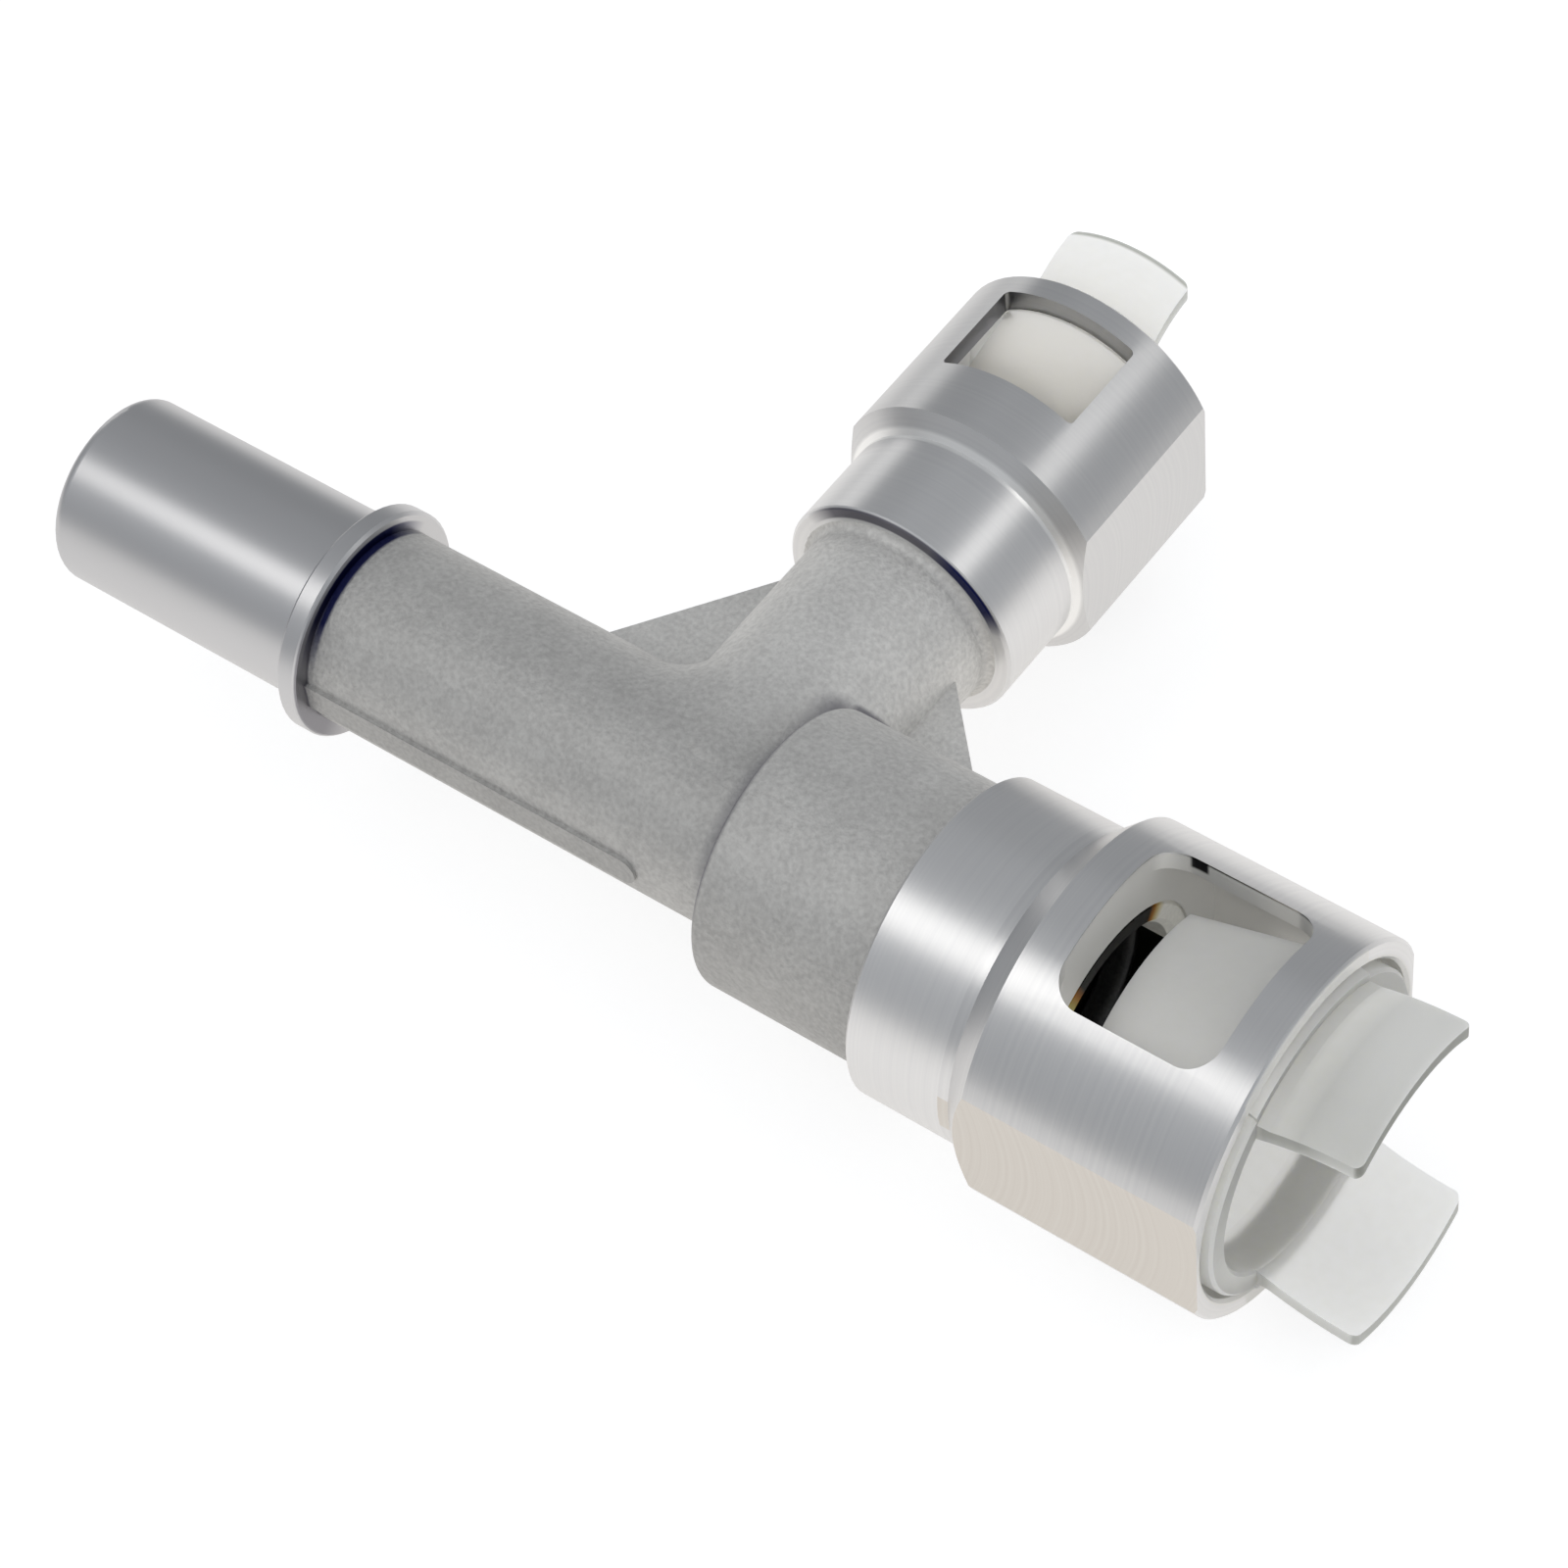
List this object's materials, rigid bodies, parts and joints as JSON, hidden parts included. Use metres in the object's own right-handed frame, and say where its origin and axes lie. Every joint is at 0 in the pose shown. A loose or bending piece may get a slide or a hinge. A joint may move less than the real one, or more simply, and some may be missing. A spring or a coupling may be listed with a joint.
{
  "type": "heater hose connector",
  "caption": "Three-way quick connector for heater hoses: cast aluminium tee with a beaded spigot, a large windowed quick-connect socket and a smaller one on the branch, both with nylon retainers.",
  "frame": {"origin": "centre of the spigot where its bead begins, which is where the mating hose connector stops", "axes": "+X along the run from the spigot to the large socket, +Y along the branch outward, +Z square to both; millimetres in the source, metres in the row"},
  "size_m": [0.1452, 0.0841, 0.0366],
  "materials": {
    "cast_body": "fine blasted casting, satin where turned",
    "nylon": "natural translucent nylon with a soft sheen",
    "seal_rubber": "smooth black rubber",
    "spacer_plastic": "black moulded plastic",
    "bushing_plastic": "very dark amber moulded plastic"
  },
  "bodies": {
    "root": {"tee_body": "cast_body", "run_retainer": "nylon", "branch_retainer": "nylon", "run_inner_o_ring": "seal_rubber", "run_spacer": "spacer_plastic", "run_outer_o_ring": "seal_rubber", "run_bushing": "bushing_plastic", "branch_inner_o_ring": "seal_rubber", "branch_spacer": "spacer_plastic", "branch_outer_o_ring": "seal_rubber", "branch_bushing": "bushing_plastic"}
  },
  "joints": []
}
